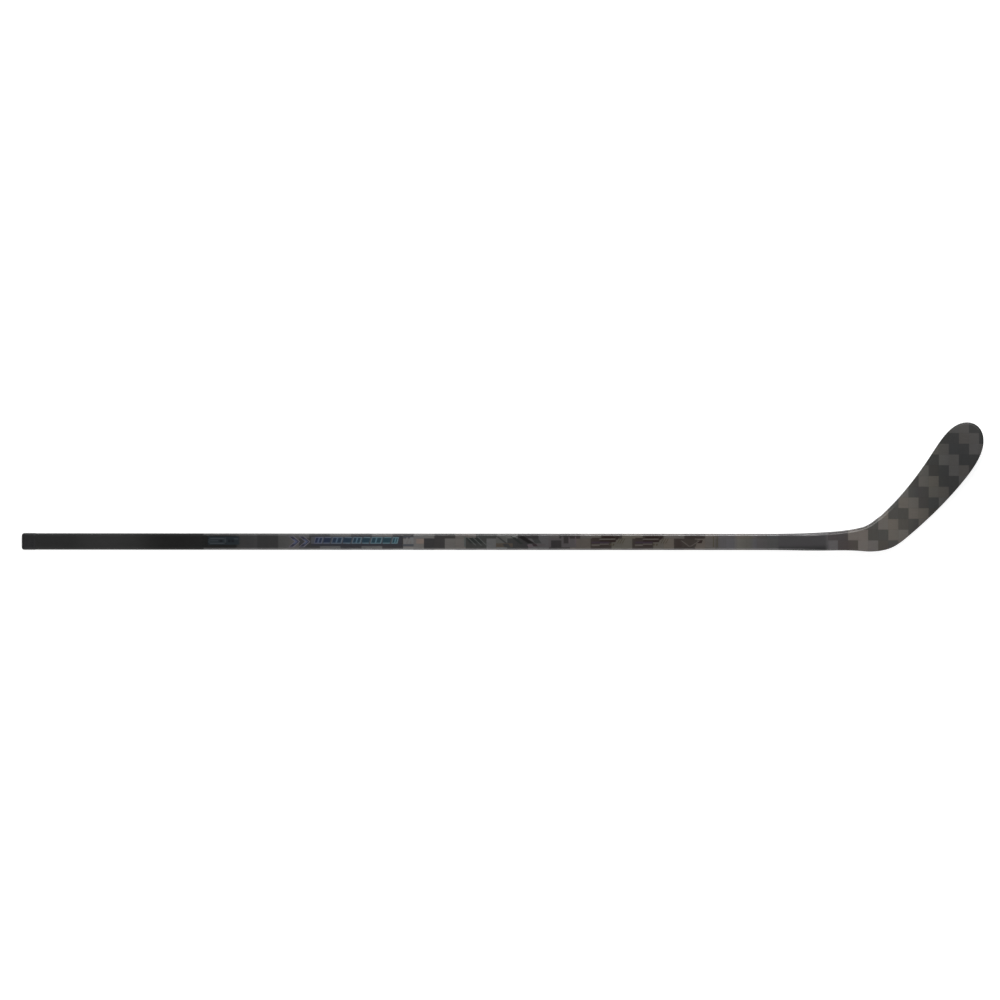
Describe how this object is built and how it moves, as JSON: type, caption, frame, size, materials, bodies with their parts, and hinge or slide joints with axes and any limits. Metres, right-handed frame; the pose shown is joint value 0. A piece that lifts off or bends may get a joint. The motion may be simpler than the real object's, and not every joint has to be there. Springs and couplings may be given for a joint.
{
  "type": "ice hockey stick",
  "caption": "Composite ice hockey stick with a hollow rounded-rectangle shaft, a flared hosel and a curved, rockered blade with a rounded toe; left-hand shot.",
  "frame": {"origin": "on the flat back face of the shaft, on its centreline, 800 mm from the butt end and 800 mm from the heel", "axes": "+X along the shaft from the butt to the toe, +Y across the wide face to the side that the blade turns to, +Z out of the front (forehand) face; the stick lies on its back on Z = 0"},
  "size_m": [1.7725, 0.2385, 0.0408],
  "materials": {
    "cap": "moulded black plastic, satin",
    "adhesive": "amber epoxy and hot-melt film",
    "grip": "fine tactile black coat, satin",
    "carbon": "unidirectional carbon laminate under clear resin",
    "spread_tow": "20 mm spread-tow carbon twill under satin clear coat",
    "hosel_foam": "dense structural foam",
    "blade_foam": "light structural foam",
    "resin": "resin filled with microballoons",
    "film": "thin printed film under clear coat"
  },
  "bodies": {
    "root": {"butt_cap": "cap", "cap_adhesive": "adhesive", "grip_coat": "grip", "shaft_tube": "carbon", "spread_tow_wrap": "spread_tow", "tenon_bond": "adhesive", "hosel_tenon": "carbon", "hosel_core": "hosel_foam", "hosel_wrap": "carbon", "heel_core": "hosel_foam", "core_rib": "carbon", "upper_core": "blade_foam", "lower_core": "blade_foam", "toe_fill": "resin", "edge_rim": "carbon", "front_skin": "spread_tow", "back_skin": "spread_tow", "size_label": "film", "accent_decal": "film", "hatch_decal": "film", "block_decals": "film"}
  },
  "joints": []
}
